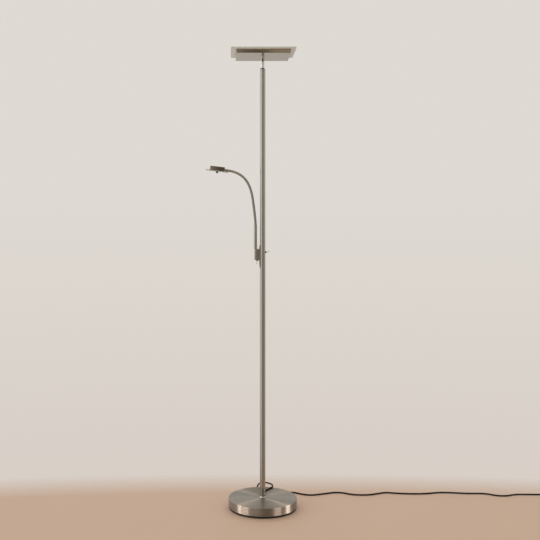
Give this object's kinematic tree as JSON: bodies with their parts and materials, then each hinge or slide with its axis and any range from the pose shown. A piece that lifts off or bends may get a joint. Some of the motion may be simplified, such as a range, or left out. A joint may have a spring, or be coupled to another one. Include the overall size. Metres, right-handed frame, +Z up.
{
  "type": "floor lamp with reading light",
  "caption": "Floor lamp with a tilting square glass uplight, a reading light on a flexible arm, toggle switches, a slim pole, a round weighted base and a mains lead.",
  "frame": {"origin": "centre of the foot's underside, on the floor, on the pole's axis", "axes": "+Z up along the pole, the reading arm reaches towards -X, the mains lead leaves the pole's back, +Y, and lies along the floor towards +X, and the front is towards -Y"},
  "size_m": [1.4568, 0.3161, 1.8],
  "materials": {
    "black_foot": "matt black paint",
    "base_iron": "rough casting",
    "base_steel": "satin, brushed in circles",
    "pole_steel": "satin nickel",
    "plated_steel": "zinc plated",
    "fitting_metal": "satin nickel finish on a zinc casting",
    "housing_metal": "satin nickel finish",
    "board_metal": "plain",
    "arm_metal": "satin nickel finish",
    "bright_metal": "bright plated",
    "pin_brass": "nickelled brass",
    "black_plastic": "black",
    "cord_black": "black flexible sheath",
    "plug_black": "black moulded plug",
    "driver_white": "white casing",
    "led_yellow": "yellow phosphor",
    "frosted_glass": "satined, with a clear edge",
    "clear_glass": "clear float glass"
  },
  "bodies": {
    "stand": {"foot_plate": "black_foot", "foot_screws": "plated_steel", "base_weight": "base_iron", "base_bolt": "plated_steel", "base_cover": "base_steel", "base_collar": "pole_steel", "pole_foot_plug": "plated_steel", "pole_lower": "pole_steel", "pole_middle": "pole_steel", "pole_upper": "pole_steel", "pole_joiners": "plated_steel", "pole_cap": "pole_steel", "neck_bush": "black_plastic", "cord_grommet": "black_plastic", "inner_cable": "cord_black", "cord_run": "cord_black", "cord_coil": "cord_black", "plug_body": "plug_black", "plug_pins": "pin_brass", "pole_saddle": "fitting_metal", "switch_block": "fitting_metal", "block_base": "black_plastic", "block_screws": "plated_steel", "arm_set_screw": "plated_steel", "uplight_switch": "black_plastic", "reading_switch": "black_plastic", "switch_nuts": "bright_metal"},
    "neck": {"neck_stem": "pole_steel", "neck_nut": "plated_steel", "tilt_pin": "plated_steel"},
    "uplight_head": {"head_knuckle": "pole_steel", "knuckle_nut": "plated_steel", "head_housing": "housing_metal", "led_board": "board_metal", "led_chips": "led_yellow", "board_screws": "plated_steel", "led_driver": "driver_white", "glass_frame": "board_metal", "glass_screws": "bright_metal", "glass_plate": "frosted_glass"},
    "uplight_lever": {"uplight_toggle": "bright_metal"},
    "reading_lever": {"reading_toggle": "bright_metal"},
    "arm": {"arm_sleeve": "pole_steel", "arm_swivel_screw": "plated_steel"},
    "link_1": {"gooseneck_1": "arm_metal"},
    "link_2": {"gooseneck_2": "arm_metal"},
    "link_3": {"gooseneck_3": "arm_metal"},
    "link_4": {"gooseneck_4": "arm_metal"},
    "link_5": {"gooseneck_5": "arm_metal"},
    "link_6": {"gooseneck_6": "arm_metal"},
    "link_7": {"gooseneck_7": "arm_metal"},
    "link_8": {"gooseneck_8": "arm_metal"},
    "reading_head": {"gooseneck_tip": "arm_metal", "reading_housing": "housing_metal", "reading_board": "board_metal", "reading_chips": "led_yellow", "reading_stud": "bright_metal", "reading_glass": "clear_glass", "reading_washers": "black_plastic", "reading_knob": "bright_metal"}
  },
  "joints": [
    {"name": "neck_swivel", "type": "hinge", "parent": "stand", "child": "neck", "pos_m": [0, 0, 1.734], "axis": [0, 0, 1], "range_deg": [-170, 170]},
    {"name": "head_tilt", "type": "hinge", "parent": "neck", "child": "uplight_head", "pos_m": [0, 0, 1.7645], "axis": [1, 0, 0], "range_deg": [-80, 80]},
    {"name": "uplight_toggle_rock", "type": "hinge", "parent": "stand", "child": "uplight_lever", "pos_m": [0.0135, 0, 1.008], "axis": [0, 1, 0], "range_deg": [0, 34]},
    {"name": "reading_toggle_rock", "type": "hinge", "parent": "stand", "child": "reading_lever", "pos_m": [-0.02165, 0, 0.9745], "axis": [0, 1, 0], "range_deg": [-34, 0]},
    {"name": "arm_swivel", "type": "hinge", "parent": "stand", "child": "arm", "pos_m": [-0.0285, 0, 1.0208], "axis": [0, 0, 1], "range_deg": [-120, 120]},
    {"name": "arm_bend_1", "type": "hinge", "parent": "arm", "child": "link_1", "pos_m": [-0.0285, 0, 1.11915], "axis": [0, -1, 0], "range_deg": [-4, 8]},
    {"name": "arm_bend_2", "type": "hinge", "parent": "link_1", "child": "link_2", "pos_m": [-0.03227, 0, 1.16399], "axis": [0, -1, 0], "range_deg": [-3, 8]},
    {"name": "arm_bend_3", "type": "hinge", "parent": "link_2", "child": "link_3", "pos_m": [-0.03791, 0, 1.20864], "axis": [0, -1, 0], "range_deg": [-3, 8]},
    {"name": "arm_bend_4", "type": "hinge", "parent": "link_3", "child": "link_4", "pos_m": [-0.04232, 0, 1.23588], "axis": [0, -1, 0], "range_deg": [-4, 8]},
    {"name": "arm_bend_5", "type": "hinge", "parent": "link_4", "child": "link_5", "pos_m": [-0.04993, 0, 1.26241], "axis": [0, -1, 0], "range_deg": [-6, 8]},
    {"name": "arm_bend_6", "type": "hinge", "parent": "link_5", "child": "link_6", "pos_m": [-0.06224, 0, 1.28711], "axis": [0, -1, 0], "range_deg": [-9, 8]},
    {"name": "arm_bend_7", "type": "hinge", "parent": "link_6", "child": "link_7", "pos_m": [-0.08071, 0, 1.30762], "axis": [0, -1, 0], "range_deg": [-10, 8]},
    {"name": "arm_bend_8", "type": "hinge", "parent": "link_7", "child": "link_8", "pos_m": [-0.10437, 0, 1.32184], "axis": [0, -1, 0], "range_deg": [-9, 8]},
    {"name": "arm_bend_9", "type": "hinge", "parent": "link_8", "child": "reading_head", "pos_m": [-0.1309, 0, 1.32945], "axis": [0, -1, 0], "range_deg": [-5, 8]}
  ]
}
